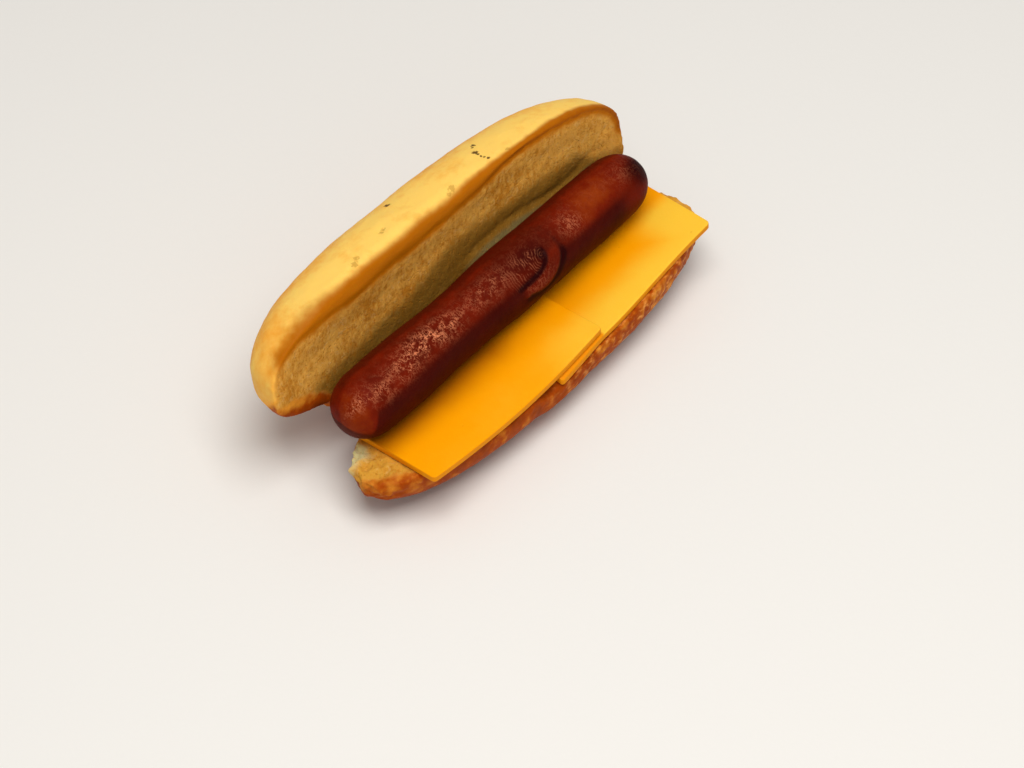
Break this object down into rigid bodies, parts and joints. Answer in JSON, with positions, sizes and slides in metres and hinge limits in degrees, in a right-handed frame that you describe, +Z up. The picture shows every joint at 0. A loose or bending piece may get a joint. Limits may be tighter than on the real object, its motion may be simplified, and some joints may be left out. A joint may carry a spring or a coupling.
{
  "type": "hot dog",
  "caption": "Hot dog in a hinged bun that lies open, with a browned frankfurter on slices of cheese.",
  "frame": {"origin": "middle of the footprint's box, on the surface that the hot dog rests on", "axes": "+X along the frankfurter towards the end where the far slice of cheese lies, +Y from the level half of the bun to the half that stands, +Z up"},
  "size_m": [0.172, 0.0804, 0.0636],
  "materials": {
    "bread": "golden crust over porous crumb",
    "frankfurter": "browned glossy skin",
    "cheese": "smooth, soft sheen"
  },
  "bodies": {
    "root": {"bun": "bread", "frankfurter": "frankfurter", "cheese_near": "cheese", "cheese_far": "cheese"}
  },
  "joints": []
}
